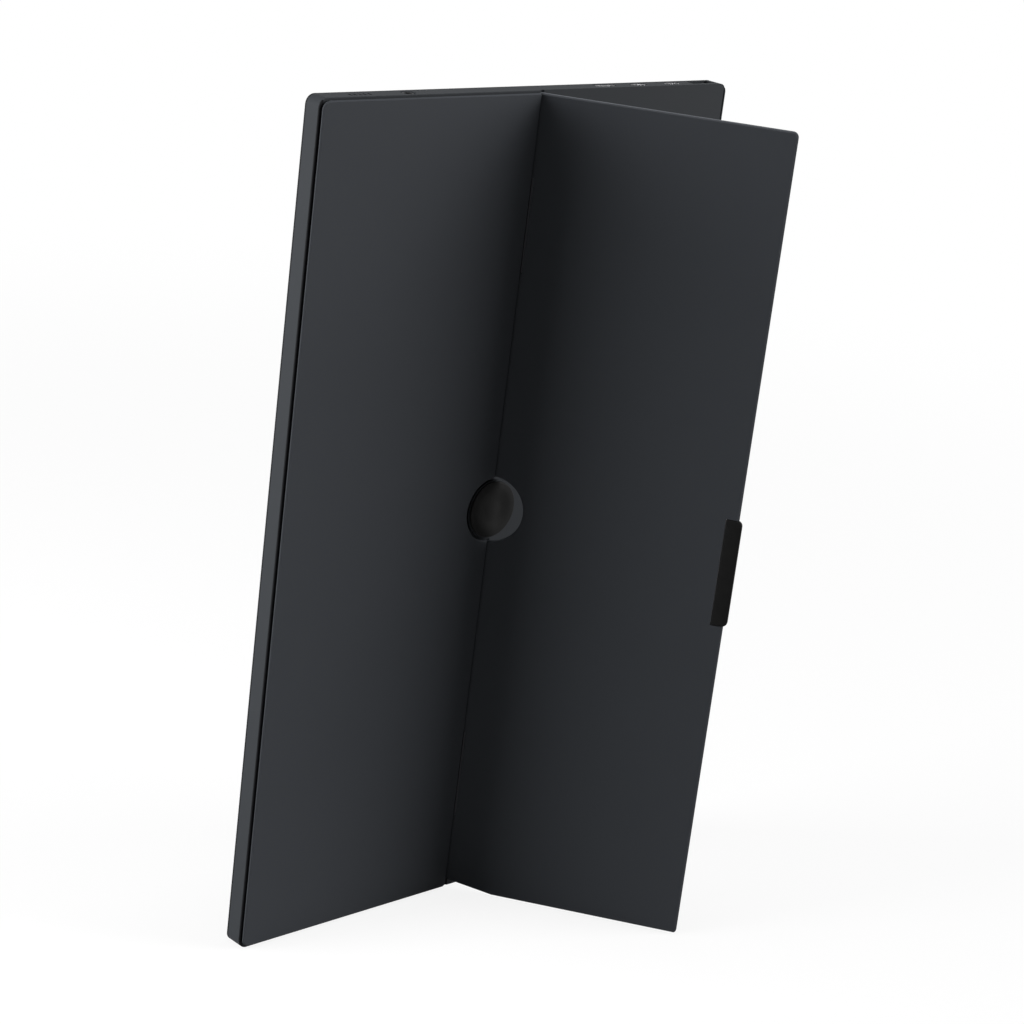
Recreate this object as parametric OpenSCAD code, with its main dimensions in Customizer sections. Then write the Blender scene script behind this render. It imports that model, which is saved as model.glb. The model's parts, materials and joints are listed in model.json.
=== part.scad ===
// Slim portable monitor standing upright on its short edge.
// X runs across the back from left to right, Z runs up the long side, and
// Y runs from the back (low) to the screen (high). The origin is under the
// middle of the space that the monitor takes with its stand flap open.

/* [Body] */
// Width of the body, across the short side
body_w = 226; // [215:1:245]
// Height of the body, along the long side
body_h = 358; // [356:1:390]
// Thickness from the back panel to the front bezel
body_t = 10.6; // [10.6:0.1:14]
// Corner radius seen from the back
corner_r = 4; // [3:0.5:8]
// Thickness of the side walls
side_wall = 1.4; // [1.2:0.1:1.6]
// Width of the inner ledge that carries the mid frame
ledge_w = 1.2; // [1:0.1:2]
// Thickness of the rear wall under the flap
rear_wall = 1.2; // [1:0.1:1.4]
// Chamfer round the back edge of the housing
back_chamfer = 0.5; // [0.2:0.1:0.8]

/* [Back panel] */
// Thickness of the fixed panel on the left half
panel_t = 1.4; // [1.2:0.1:1.6]
// How far the panel stays inside the body's edge
panel_inset = 1; // [0.6:0.1:2]
// Chamfer round the face of the panel
panel_chamfer = 0.5; // [0.3:0.1:0.6]
// Depth of the shadow groove under the panel's edge
groove_w = 0.8; // [0.4:0.1:1.2]
// Height of the shadow groove
groove_h = 0.5; // [0.3:0.1:0.6]

/* [Stand flap] */
// Distance from the body's centre line to the hinge axis
hinge_x = 2.6; // [0:0.2:8]
// Radius of the round edge at the hinge
knuckle_r = 1.2; // [1.1:0.05:1.3]
// Thickness of the flap
flap_t = 1.8; // [1.7:0.05:1.9]
// Gap between the closed flap and the floor under it
flap_gap = 0.2; // [0.2:0.05:0.4]
// Distance from the flap's free edge to the body's right edge
flap_margin = 5.8; // [4:0.1:12]
// How far the flap stays inside the body's top and bottom edges
flap_inset = 1; // [0:0.1:2]
// Opening angle at which the monitor stands
open_angle = 55; // [30:1:80]
// Chamfer round the outer face of the flap
flap_chamfer = 0.6; // [0.3:0.1:0.8]
// Corner radius at the top of the free edge
flap_top_r = 2.5; // [1:0.5:6]
// Corner radius at the bottom of the free edge
flap_low_r = 1.2; // [1:0.1:4]
// Length of the slanted cut at the lower hinge corner
cut_len = 21; // [10:1:30]
// Height of that cut at the hinge
cut_h = 3.3; // [1:0.1:5]
// Thickness of the flap's inner liner
liner_t = 0.8; // [0.6:0.05:0.9]
// Width of the flap's solid border round the liner
flap_border = 6; // [4:0.5:12]

/* [Rubber foot] */
// Length of the foot along the free edge
foot_len = 47.4; // [30:0.2:80]
// Height of the foot's middle above the bottom edge
foot_z = 169.4; // [100:0.2:240]
// How far the foot reaches in from the free edge
foot_in = 5.4; // [3:0.2:8]
// How far the foot stands out past the free edge
foot_out = 1.6; // [1:0.2:4]
// How far the foot stands out of the flap's outer face
foot_proud = 0.3; // [0.1:0.05:0.5]
// Corner radius of the foot
foot_r = 2.4; // [1:0.2:4]

/* [Hinges] */
// Distance of each hinge's middle from the end of the body
hinge_from_end = 56; // [50:1:80]
// Length of the fixed knuckle
fixed_len = 16; // [10:1:20]
// Length of each moving knuckle
moving_len = 11.6; // [8:0.2:16]
// Radius of the hinge pin
pin_r = 0.8; // [0.6:0.05:0.85]
// Thickness of the hinge's sheet steel
leaf_t = 0.8; // [0.5:0.05:0.8]
// Reach of the moving leaf into the flap
leaf_reach = 22; // [14:1:30]
// Width of the fixed bracket's foot
bracket_w = 25; // [20:1:32]

/* [Hub] */
// Distance from the body's centre line to the hub's centre
hub_x = 1.6; // [0:0.2:4]
// Radius of the opening in the back panel
hub_open_r = 14.2; // [13.8:0.1:16]
// Radius of the cut-out in the flap
flap_open_r = 14.6; // [14.2:0.1:16]
// Radius of the rubber cap and of the collar under it
cap_r = 13; // [12:0.1:13.4]
// How far the cap stands out of the back panel
cap_proud = 0.6; // [0.3:0.1:1]
// Thickness of the cap
cap_t = 1.2; // [1:0.1:1.6]
// Dish in the middle of the cap
cap_dish = 0.25; // [0:0.05:0.4]
// Radius of the cap's locating boss
cap_boss_r = 4.6; // [3.6:0.1:4.8]
// Radius of the threaded bore, for a quarter-inch camera screw
thread_r = 3.175; // [3.175:0.001:3.176]
// Depth of the threaded bore
thread_len = 4.7; // [4:0.1:4.8]
// Radius of the threaded insert
insert_r = 5.5; // [5:0.1:6.5]
// Radius of the insert's flange
flange_r = 9; // [8.6:0.1:11]

/* [Screen] */
// Border of the picture area at the top, bottom and left edges
view_border = 6.9; // [6.5:0.1:8]
// Border of the picture area at the right edge, over the driver board
view_right = 25.5; // [24:0.1:30]
// Border of the glass outside the picture area at those three edges
glass_border = 3; // [2:0.1:3.2]
// Border of the glass outside the picture area at the right
glass_right = 8.4; // [7:0.1:9.5]
// Thickness of the glass
glass_t = 1; // [0.8:0.1:1.1]
// Thickness of the light guide
guide_t = 0.7; // [0.5:0.1:0.8]
// Thickness of the tray's sheet steel
tray_t = 0.2; // [0.15:0.05:0.3]
// Thickness of the mid frame
mid_t = 0.5; // [0.4:0.05:0.6]
// Thickness of the front bezel
bezel_t = 1.4; // [1.2:0.1:1.6]
// Thickness of the bezel's lip over the glass
lip_t = 0.5; // [0.4:0.05:0.6]
// Thickness of the foam tape behind the lip
tape_t = 0.2; // [0.1:0.05:0.3]
// Chamfer round the front edge
front_chamfer = 0.5; // [0.2:0.1:0.9]

/* [Boards and sockets] */
// Thickness of the circuit boards
board_t = 0.8; // [0.6:0.1:0.8]
// Height of the boards above the rear wall
standoff_h = 0.7; // [0.5:0.1:0.7]
// Width of the main board
board_w = 82; // [80:0.5:84]
// Height of the main board
board_h = 42; // [36:1:60]
// Distance of the main board's right edge from the body's edge
board_side = 5; // [4:0.5:6]
// Distance of the key's middle from the body's right edge
key_from_right = 12.5; // [12:0.5:14]
// Distance of the outer round-ended socket from the body's right edge
usb_outer_from_right = 29.8; // [28:0.2:32]
// Distance of the inner round-ended socket from the body's right edge
usb_inner_from_right = 50.5; // [48:0.5:54]
// Distance of the small video socket from the body's right edge
video_from_right = 70.2; // [68:0.2:74]
// Distance of the earphone socket from the body's left edge
jack_from_left = 47; // [44:1:60]
// Width of a round-ended socket
usb_w = 8.94; // [8.9:0.01:9]
// Height of the flat sockets
socket_h = 3.2; // [3:0.05:3.2]
// Length of the flat sockets
socket_len = 8.2; // [7:0.2:10]
// Width of the small video socket
video_w = 11.2; // [10.8:0.1:11.6]
// Radius of the earphone plug's bore
jack_r = 1.8; // [1.75:0.01:1.85]
// Depth of the earphone plug's bore
jack_depth = 11.5; // [11:0.5:14]
// Width of a speaker
speaker_w = 24; // [20:1:28]
// Length of a speaker
speaker_len = 36; // [24:1:44]
// Thickness of a speaker
speaker_t = 3.8; // [3:0.1:4]
// Distance of the speakers' middle from the body's left edge
speaker_from_left = 22.3; // [18:0.5:23]

/* [Control key] */
// Width of the thumb notch round the key
notch_w = 13; // [12:0.5:15]
// Height of the notch across the top edge
notch_h = 4.7; // [4.2:0.1:4.9]
// Depth of the notch
notch_d = 1.6; // [1.2:0.1:1.6]
// Width of the key
key_w = 8; // [6:0.5:8.5]
// Height of the key across the top edge
key_h = 3; // [2.4:0.1:3]
// How far the key's top lies below the top edge
key_below = 0.7; // [0.5:0.1:1]

/* [Hidden] */
$fn = 48;

// Colours of the finishes
shell_colour = [0.19, 0.20, 0.23];
inner_colour = [0.10, 0.10, 0.11];
rubber_colour = [0.05, 0.05, 0.05];
steel_colour = [0.62, 0.63, 0.65];
board_colour = [0.07, 0.24, 0.16];
glass_colour = [0.03, 0.03, 0.04];

// Clearances
cut = 0.5;           // overshoot of a cut past a face
slide_gap = 0.15;    // between pieces that drop into each other
bore_gap = 0.05;     // running fit of a pin in its bore
press_gap = 0.02;    // tight fit of a pin in its bore
turn_gap = 0.25;     // between the turning round edge and what is round it
screen_gap = 0.3;    // round the glass and the tray
panel_gap = 0.3;     // between the round edge and the back panel

// Planes through the thickness, from the back to the screen
y_panel = 0;
y_left = panel_t;
y_floor = flap_t + flap_gap;
y_in = y_floor + rear_wall;
y_front = body_t;
y_seam = y_front - bezel_t;
y_lip = y_front - lip_t;
y_glass = y_lip - tape_t;
y_guide = y_glass - glass_t;
y_tray = y_guide - guide_t;
y_mid_front = y_tray - tray_t;
y_mid = y_mid_front - mid_t;
y_board = y_in + standoff_h;
y_parts = y_board + board_t;

// Hinge axis and the channel that it turns in
axis_x = hinge_x;
axis_y = knuckle_r;
channel_r = knuckle_r + turn_gap;
channel_wall = 1;
y_pad = axis_y + channel_r + channel_wall;
crease_x = axis_x - knuckle_r - panel_gap;
mid_z = body_h / 2;
hinge_zs = [hinge_from_end, body_h - hinge_from_end];
knuckle_gap = 0.2;
zone_len = fixed_len + 2 * (moving_len + knuckle_gap) + 2 * knuckle_gap;
bracket_len = fixed_len + 10;
web_len = fixed_len - 2;
leaf_screw_x = leaf_reach - 5;
leaf_screw_z = zone_len / 2 - 6;

// Hub
collar_top = cap_t - cap_proud + 0.1;
cap_boss_h = 1;
y_insert = collar_top + cap_boss_h + 0.1;
y_flange = y_insert + thread_len - 0.5;
flange_t = 1;
insert_screw_r = flange_r - 1.7;
hub_boss_r = flange_r + 1;

// Screws
screw_r = 0.8;
screw_head_r = 1.6;
screw_head_h = 0.5;
flush_head_r = 1.8;
post_r = 2.2;
post_x = body_w / 2 - 17;
post_rows = 4;

// Screen
view_x0 = -body_w / 2 + view_border;
view_x1 = body_w / 2 - view_right;
view_z0 = view_border;
view_z1 = body_h - view_border;
glass_x0 = view_x0 - glass_border;
glass_x1 = view_x1 + glass_right;
glass_z0 = view_z0 - glass_border;
glass_z1 = view_z1 + glass_border;
tray_wall = 0.3;
tray_out = screen_gap + tray_wall;
rib_t = 0.8;
rib_h = 0.9;
rib_end = 24;
rib_x1 = body_w / 2 - side_wall - slide_gap;

// Boards and sockets, seen along the top edge
board_x1 = body_w / 2 - board_side;
board_x0 = board_x1 - board_w;
wall_in = side_wall + ledge_w;
board_z1 = body_h - wall_in - 0.6;
board_z0 = board_z1 - board_h;
key_x = body_w / 2 - key_from_right;
usb_outer_x = body_w / 2 - usb_outer_from_right;
usb_inner_x = body_w / 2 - usb_inner_from_right;
video_x = body_w / 2 - video_from_right;
jack_x = -body_w / 2 + jack_from_left;
socket_y = y_parts + socket_h / 2;
socket_wall = 0.3;
socket_mouth = body_h - 0.2;
jack_body_h = 4.4;
jack_body_w = 6.2;
jack_y = y_board - 0.4 + jack_body_h / 2;
jack_nozzle_r = jack_r + 0.5;
jack_mouth = body_h - 0.3;
jack_ring_r = 3.4;
audio_w = 24;
audio_h = 16;
screw_inset = 4;
speaker_x = -body_w / 2 + speaker_from_left;
slot_count = 5;
slot_w = 1;
slot_pitch = 2.4;
slot_h = 2.6;

// Mid frame openings
mid_inset = side_wall + 0.2;

// Rows of posts, spread evenly between the speakers
speaker_gap = 0.3;
post_clear = 17;
post_z0 = wall_in + speaker_gap + speaker_len + post_clear;
post_pitch = (body_h - 2 * post_z0) / (post_rows - 1);

// Driver board beside the screen tray, and the cable to it from the main board
driver_gap = 2.2;
driver_x0 = glass_x1 + tray_out + driver_gap;
driver_x1 = rib_x1 - rib_t - driver_gap;
driver_above = 95;
driver_below = 55;
driver_z0 = mid_z - driver_below;
driver_z1 = mid_z + driver_above;
cable_w = driver_x1 - driver_x0 - 1.5;
cable_t = 0.25;
cable_x = (driver_x0 + driver_x1) / 2;
cable_on_board = 6;
cable_on_driver = 8;
cable_loop = 3;

// Pressed cover on the main board
can_left = 12;
can_low = 6;
can_w = 34;
can_h = 20;
can_deep = 1.8;
can_t = 0.2;

// Control key, on its switch at the top edge of the main board
key_y = socket_y;
key_floor = body_h - notch_d;
key_block = 0.9;
key_top = body_h - key_below;
key_flange = 0.7;
key_pivot_z = key_floor - key_block - 2;
nose_r = 0.6;
plunger_w = 2.4;
switch_w = 6;
switch_top = key_pivot_z - 1.2;
switch_h = 5;
mid_notch_h = max(socket_len, body_h - switch_top + switch_h) + 1;

// Flap outline
flap_x1 = body_w / 2 - flap_margin;
flap_w = flap_x1 - axis_x;
flap_z0 = flap_inset;
flap_z1 = body_h - flap_inset;
foot_z0 = foot_z - foot_len / 2;
foot_z1 = foot_z + foot_len / 2;
foot_edge_r = 0.7;
skin_y = flap_t - liner_t;

// Lowest point of the open flap's foot, which sets the middle of the depth
foot_tip = [foot_out + flap_w - foot_edge_r, axis_y + foot_proud - foot_edge_r];
y_low = axis_y - foot_tip[0] * sin(open_angle) - foot_tip[1] * cos(open_angle) - foot_edge_r;
y_shift = -(y_low + y_front) / 2;

// ---- Helpers ----

// Stands a flat outline up, so that its second axis becomes Z
module upright() {
    rotate([90, 0, 0])
        children();
}

// Plate between two depths, from an outline in X and Z
module slab(y0, y1) {
    upright()
        translate([0, 0, -y1])
            linear_extrude(y1 - y0)
                children();
}

// Round bar along Y
module bar_y(x, z, y0, y1, r) {
    upright()
        translate([x, z, -y1])
            cylinder(r = r, h = y1 - y0);
}

// Cone along Y, with its radius at each depth
module cone_y(x, z, y0, y1, r0, r1) {
    upright()
        translate([x, z, -y1])
            cylinder(r1 = r1, r2 = r0, h = y1 - y0);
}

// Round bar along Z
module bar_z(x, y, z0, z1, r) {
    translate([x, y, z0])
        cylinder(r = r, h = z1 - z0);
}

// Block between two corners
module block(a, b) {
    translate(a)
        cube(b - a);
}

// Rectangle with round corners
module round_rect(x0, z0, x1, z1, r) {
    translate([x0 + r, z0])
        square([x1 - x0 - 2 * r, z1 - z0]);
    translate([x0, z0 + r])
        square([x1 - x0, z1 - z0 - 2 * r]);
    for (x = [x0 + r, x1 - r], z = [z0 + r, z1 - r])
        translate([x, z])
            circle(r);
}

// Outline of the body, drawn in by an inset
module body_outline(inset = 0) {
    round_rect(-body_w / 2 + inset, inset, body_w / 2 - inset, body_h - inset,
        max(corner_r - inset, 0.8));
}

// Cutter for a chamfer round a rectangle whose face lies in the plane h = 0
module rim_cutter(x0, z0, x1, z1, r, c) {
    profile = [[r - c - cut, cut], [r + cut, cut], [r + cut, -c - cut]];
    sides = [
        [x1 - r, z1 - r, 0, z1 - z0 - 2 * r],
        [x0 + r, z1 - r, 90, x1 - x0 - 2 * r],
        [x0 + r, z0 + r, 180, z1 - z0 - 2 * r],
        [x1 - r, z0 + r, 270, x1 - x0 - 2 * r]
    ];
    for (side = sides)
        translate([side[0], side[1], 0])
            rotate([0, 0, side[2]]) {
                rotate([90, 0, 0])
                    linear_extrude(side[3])
                        polygon(profile);
                rotate_extrude(angle = 90)
                    polygon(profile);
            }
}

// The same cutter on a face that looks back, at depth y
module back_rim(x0, z0, x1, z1, r, c, y) {
    upright()
        translate([0, 0, -y])
            rim_cutter(x0, z0, x1, z1, r, c);
}

// Socket outline with round ends
module round_slot(w, h) {
    square([w - h, h], center = true);
    for (side = [-1, 1])
        translate([side * (w - h) / 2, 0])
            circle(h / 2);
}

// Outline of the small video socket, with its two lower corners cut
module video_outline(w, h) {
    slope = 0.9;
    polygon([
        [-w / 2, h / 2], [w / 2, h / 2], [w / 2, -h / 2 + slope],
        [w / 2 - slope, -h / 2], [-w / 2 + slope, -h / 2], [-w / 2, -h / 2 + slope]
    ]);
}

// Everything is placed with the origin under the middle of the whole space
module placed() {
    translate([0, y_shift, 0])
        children();
}

// What belongs to the flap is drawn closed and swung open about the hinge
module swung() {
    placed()
        translate([axis_x, axis_y, 0])
            rotate([0, 0, -open_angle])
                translate([-axis_x, -axis_y, 0])
                    children();
}

// ---- Positions of fasteners, as [x, z] ----

post_spots = [
    for (x = [-post_x, post_x], i = [0 : post_rows - 1]) [x, post_z0 + i * post_pitch]
];
board_spots = [
    [board_x0 + screw_inset, board_z0 + screw_inset],
    [cable_x - cable_w / 2 - screw_inset, board_z0 + screw_inset],
    [board_x0 + screw_inset, board_z1 - screw_inset],
    [(usb_inner_x + usb_outer_x) / 2, board_z1 - screw_inset]
];
audio_spots = [
    for (side = [-1, 1]) [jack_x + side * (audio_w / 2 - screw_inset), board_z1 - audio_h / 2]
];
bracket_spots = [
    for (z = hinge_zs, sx = [-1, 1], sz = [-1, 1])
        [axis_x + sx * (bracket_w / 2 - 3), z + sz * (bracket_len / 2 - 3)]
];
insert_spots = [
    for (a = [90, 210, 330]) [hub_x + insert_screw_r * cos(a), mid_z + insert_screw_r * sin(a)]
];
leaf_spots = [
    for (z = hinge_zs, side = [-1, 1]) [axis_x + leaf_screw_x, z + side * leaf_screw_z]
];

// ---- Shells ----

// Tray-shaped rear housing, with the floor that the flap folds on to
module rear_housing() {
    placed()
        color(shell_colour)
            difference() {
                union() {
                    housing_shell();
                    hinge_rib();
                    hub_boss();
                    posts();
                    slab(y_in, y_seam)
                        translate([key_x - notch_w / 2 - 1, key_floor - key_block])
                            square([notch_w + 2, notch_d + key_block - side_wall / 2]);
                }
                hinge_channel();
                hub_bore();
                screw_bores();
                socket_openings();
                key_opening();
            }
}

// Outer walls with the cavity, the ledge and the lowered floor on the right
module housing_shell() {
    difference() {
        slab(y_left, y_seam)
            body_outline();
        slab(y_left - cut, y_floor)
            translate([crease_x, -cut])
                square([body_w, body_h + 2 * cut]);
        slab(y_in, y_mid + 0.01)
            body_outline(wall_in);
        slab(y_mid, y_seam + cut)
            body_outline(side_wall);
        bar_y(hub_x, mid_z, y_left - cut, y_floor, hub_open_r);
        back_rim(-body_w / 2, 0, body_w / 2, body_h, corner_r, back_chamfer / 2, y_left);
        floor_chamfer();
    }
}

// Chamfer along the right-hand edge of the floor
module floor_chamfer() {
    translate([body_w / 2 - back_chamfer, y_floor, -cut])
        rotate([0, 0, -45])
            block([-cut, -2, 0], [body_w, 0, body_h + 2 * cut]);
}

// Thicker wall behind the hinge channel, with a pad for each bracket
module hinge_rib() {
    block([axis_x - channel_r - channel_wall, y_in - 0.01, side_wall],
        [axis_x + channel_r + channel_wall, y_pad, body_h - side_wall]);
    for (z = hinge_zs)
        block([axis_x - bracket_w / 2 - 0.5, y_in - 0.01, z - bracket_len / 2 - 0.5],
            [axis_x + bracket_w / 2 + 0.5, y_pad, z + bracket_len / 2 + 0.5]);
}

// Round channel for the flap's edge, with a slot for each bracket's web
module hinge_channel() {
    hub_end = flap_open_r - 0.6;
    for (span = [[-cut, mid_z - hub_end], [mid_z + hub_end, body_h + cut]])
        bar_z(axis_x, axis_y, span[0], span[1], channel_r);
    for (z = hinge_zs)
        block([axis_x - leaf_t / 2 - slide_gap, axis_y, z - web_len / 2 - slide_gap],
            [axis_x + leaf_t / 2 + slide_gap, y_pad + cut, z + web_len / 2 + slide_gap]);
}

// Collar on the outside and boss on the inside, round the threaded insert
module hub_boss() {
    bar_y(hub_x, mid_z, collar_top, y_in, cap_r);
    bar_y(hub_x, mid_z, y_in - 0.01, y_flange, hub_boss_r);
}

// Bore that holds the insert, open at the collar
module hub_bore() {
    bar_y(hub_x, mid_z, collar_top - cut, y_flange + cut, insert_r + bore_gap);
}

// Posts under the mid frame and low standoffs under the boards
module posts() {
    for (p = post_spots)
        bar_y(p[0], p[1], y_in - 0.01, y_mid, post_r);
    for (p = concat(board_spots, audio_spots))
        bar_y(p[0], p[1], y_in - 0.01, y_board, post_r);
}

// Pilot bores for every screw that ends in the housing
module screw_bores() {
    for (p = post_spots)
        bar_y(p[0], p[1], y_in + 0.6, y_mid + cut, screw_r + press_gap);
    for (p = concat(board_spots, audio_spots))
        bar_y(p[0], p[1], y_in - 0.4, y_board + cut, screw_r + press_gap);
    for (p = bracket_spots)
        bar_y(p[0], p[1], y_floor + 0.6, y_pad + cut, screw_r + press_gap);
    for (p = insert_spots)
        bar_y(p[0], p[1], y_flange - 2.2, y_flange + cut, screw_r + press_gap);
}

// Openings along the short edges: sockets at the top, speaker slots at both
module socket_openings() {
    translate([0, socket_y, body_h - wall_in - cut])
        linear_extrude(wall_in + 2 * cut) {
            for (x = [usb_inner_x, usb_outer_x])
                translate([x, 0])
                    round_slot(usb_w + 2 * slide_gap, socket_h + 2 * slide_gap);
            translate([video_x, 0])
                video_outline(video_w + 2 * slide_gap, socket_h + 2 * slide_gap);
        }
    bar_z(jack_x, jack_y, body_h - wall_in - cut, body_h + cut, jack_nozzle_r + slide_gap);
    translate([jack_x, jack_y, body_h - 0.9])
        cylinder(r1 = jack_nozzle_r + slide_gap, r2 = jack_ring_r + 0.5, h = 0.9 + 0.4);
    for (z = [-cut, body_h - wall_in - cut], i = [0 : slot_count - 1])
        translate([speaker_x + (i - (slot_count - 1) / 2) * slot_pitch, y_in + speaker_t / 2, z])
            linear_extrude(wall_in + 2 * cut)
                square([slot_w, slot_h], center = true);
}

// Thumb notch with a slanted left wall, and the hole that the key stands in
module key_opening() {
    half = notch_w / 2;
    translate([key_x, key_y + notch_h / 2, 0])
        rotate([90, 0, 0])
            linear_extrude(notch_h)
                polygon([
                    [-half, body_h + cut], [-half, body_h - 0.3], [-half + 1.9, key_floor],
                    [half, key_floor], [half, body_h + cut]
                ]);
    gap = 0.4;
    block([key_x - key_w / 2 - gap, key_y - key_h / 2 - slide_gap, key_floor - key_block - cut],
        [key_x + key_w / 2 + gap, key_y + key_h / 2 + slide_gap, key_floor + cut]);
}

// Fixed panel on the left half of the back, with a shadow groove round it
module back_panel() {
    x0 = -body_w / 2 + panel_inset;
    r = corner_r - panel_inset / 2;
    placed()
        color(shell_colour)
            difference() {
                slab(y_panel, y_left)
                    panel_outline(0);
                difference() {
                    slab(y_left - groove_h, y_left + cut)
                        panel_outline(-1);
                    slab(y_left - groove_h - cut, y_left + 2 * cut)
                        panel_outline(groove_w);
                }
                back_rim(x0, panel_inset, crease_x, body_h - panel_inset, 1.2, panel_chamfer, y_panel);
                corner_chamfer(x0, r);
                cone_y(hub_x, mid_z, y_panel - 0.1, y_panel + panel_chamfer,
                    hub_open_r + panel_chamfer + 0.1, hub_open_r);
            }
}

// Outline of the panel, square at the crease and open round the hub
module panel_outline(inset) {
    x0 = -body_w / 2 + panel_inset;
    r = max(corner_r - panel_inset / 2 - inset, 0.8);
    difference() {
        round_rect(x0 + inset, panel_inset + inset, crease_x + r + 2, body_h - panel_inset - inset, r);
        translate([crease_x, 0])
            square([20, body_h]);
        translate([hub_x, mid_z])
            circle(hub_open_r);
    }
}

// Chamfer that follows the panel's two round corners
module corner_chamfer(x0, r) {
    profile = [
        [r - panel_chamfer - cut, cut], [r + 2, cut], [r + 2, -panel_chamfer - 2]
    ];
    upright()
        for (side = [[panel_inset + r, 180], [body_h - panel_inset - r, 90]])
            translate([x0 + r, side[0], 0])
                rotate([0, 0, side[1]])
                    rotate_extrude(angle = 90)
                        polygon(profile);
}

// Front frame: thick round the edge, thin where its lip covers the glass
module front_bezel() {
    placed()
        color(inner_colour)
            difference() {
                union() {
                    slab(y_seam, y_front)
                        body_outline();
                    bezel_ribs();
                }
                slab(y_seam - cut, y_lip)
                    glass_outline(-tray_out - slide_gap);
                slab(y_lip - cut, y_front + cut)
                    view_outline(-slide_gap);
                mirror([0, 1, 0])
                    back_rim(-body_w / 2, 0, body_w / 2, body_h, corner_r, front_chamfer, -y_front);
            }
}

// Ribs that locate the bezel inside the long walls of the housing
module bezel_ribs() {
    for (x = [-rib_x1, rib_x1 - rib_t])
        block([x, y_seam - rib_h, rib_end], [x + rib_t, y_seam + 0.1, body_h - rib_end]);
}

// Outline of the glass, drawn in by an inset
module glass_outline(inset) {
    translate([glass_x0 + inset, glass_z0 + inset])
        square([glass_x1 - glass_x0 - 2 * inset, glass_z1 - glass_z0 - 2 * inset]);
}

// Outline of the picture area, drawn in by an inset
module view_outline(inset) {
    translate([view_x0 + inset, view_z0 + inset])
        square([view_x1 - view_x0 - 2 * inset, view_z1 - view_z0 - 2 * inset]);
}

// Foam tape between the bezel's lip and the glass
module bezel_tape() {
    placed()
        color(rubber_colour)
            slab(y_glass, y_lip)
                difference() {
                    glass_outline(0.3);
                    view_outline(-0.8);
                }
}

// ---- Screen ----

module lcd_glass() {
    placed()
        color(glass_colour)
            slab(y_guide, y_glass)
                glass_outline(0);
}

module light_guide() {
    placed()
        color([0.9, 0.9, 0.92])
            slab(y_tray, y_guide)
                glass_outline(0.8);
}

// Shallow steel tray that holds the glass and the light guide
module screen_tray() {
    placed()
        color(steel_colour)
            difference() {
                slab(y_mid_front, y_glass)
                    glass_outline(-tray_out);
                slab(y_tray, y_glass + cut)
                    glass_outline(-screen_gap);
            }
}

// Steel plate between the screen and the electronics
module mid_frame() {
    notch_z = body_h - mid_notch_h;
    placed()
        color(steel_colour)
            difference() {
                slab(y_mid, y_mid_front)
                    difference() {
                        body_outline(mid_inset);
                        translate([video_x - video_w / 2 - 1.5, notch_z])
                            square([body_w, mid_notch_h]);
                        translate([jack_x - jack_body_w / 2 - 1, board_z1 - audio_h])
                            square([jack_body_w + 2, body_h]);
                        translate([cable_x - cable_w / 2 - 1, driver_z1 + 1])
                            square([cable_w + 2, cable_loop + 2]);
                    }
                for (p = post_spots)
                    cone_y(p[0], p[1], y_mid - 0.01, y_mid_front + 0.01,
                        screw_r + bore_gap, flush_head_r + bore_gap);
            }
}

// ---- Boards ----

module main_board() {
    placed()
        color(board_colour)
            difference() {
                slab(y_board, y_parts)
                    translate([board_x0, board_z0])
                        square([board_w, board_h]);
                for (p = board_spots)
                    bar_y(p[0], p[1], y_board - cut, y_parts + cut, screw_r + bore_gap);
            }
}

// Pressed steel cover over the controller chips
module shield_can() {
    x0 = board_x0 + can_left;
    z0 = board_z0 + can_low;
    placed()
        color(steel_colour)
            difference() {
                slab(y_parts, y_parts + can_deep)
                    translate([x0, z0])
                        square([can_w, can_h]);
                slab(y_parts - cut, y_parts + can_deep - can_t)
                    translate([x0 + can_t, z0 + can_t])
                        square([can_w - 2 * can_t, can_h - 2 * can_t]);
            }
}

// Small board with a slot that the earphone socket sinks into
module audio_board() {
    placed()
        color(board_colour)
            difference() {
                slab(y_board, y_parts)
                    difference() {
                        translate([jack_x - audio_w / 2, board_z1 - audio_h])
                            square([audio_w, audio_h]);
                        translate([jack_x - jack_body_w / 2 - slide_gap, board_z1 - audio_h + 2])
                            square([jack_body_w + 2 * slide_gap, audio_h]);
                    }
                for (p = audio_spots)
                    bar_y(p[0], p[1], y_board - cut, y_parts + cut, screw_r + bore_gap);
            }
}

// Narrow board beside the screen tray that drives the glass
module driver_board() {
    placed()
        color(board_colour)
            slab(y_mid_front, y_mid_front + board_t)
                translate([driver_x0, driver_z0])
                    square([driver_x1 - driver_x0, driver_z1 - driver_z0]);
}

// Flat cable from the main board, through the mid frame, to the driver board
module screen_cable() {
    t = cable_t;
    z_top = board_z0 + cable_on_board;
    z_end = driver_z1 - cable_on_driver;
    z_slot = driver_z1 + cable_loop;
    y_on = y_parts;
    y_end = y_mid_front + board_t;
    placed()
        color([0.75, 0.55, 0.25])
            translate([cable_x + cable_w / 2, 0, 0])
                rotate([0, -90, 0])
                    linear_extrude(cable_w)
                        polygon([
                            [z_top, y_on], [z_top, y_on + t], [z_slot + t, y_on + t],
                            [z_slot + t, y_end + t], [z_end, y_end + t],
                            [z_end, y_end], [z_slot, y_end], [z_slot, y_on]
                        ]);
}

// ---- Sockets ----

// Round-ended metal shell with a tongue inside
module usb_c_socket(x) {
    z0 = socket_mouth - socket_len;
    placed()
        color(steel_colour)
            translate([x, socket_y, z0]) {
                difference() {
                    linear_extrude(socket_len)
                        round_slot(usb_w, socket_h);
                    translate([0, 0, 1.2])
                        linear_extrude(socket_len)
                            round_slot(usb_w - 2 * socket_wall, socket_h - 2 * socket_wall);
                }
                translate([-3.35, -0.35, 1])
                    cube([6.7, 0.7, socket_len - 2.2]);
            }
}

module usb_c_socket_inner() {
    usb_c_socket(usb_inner_x);
}

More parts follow.
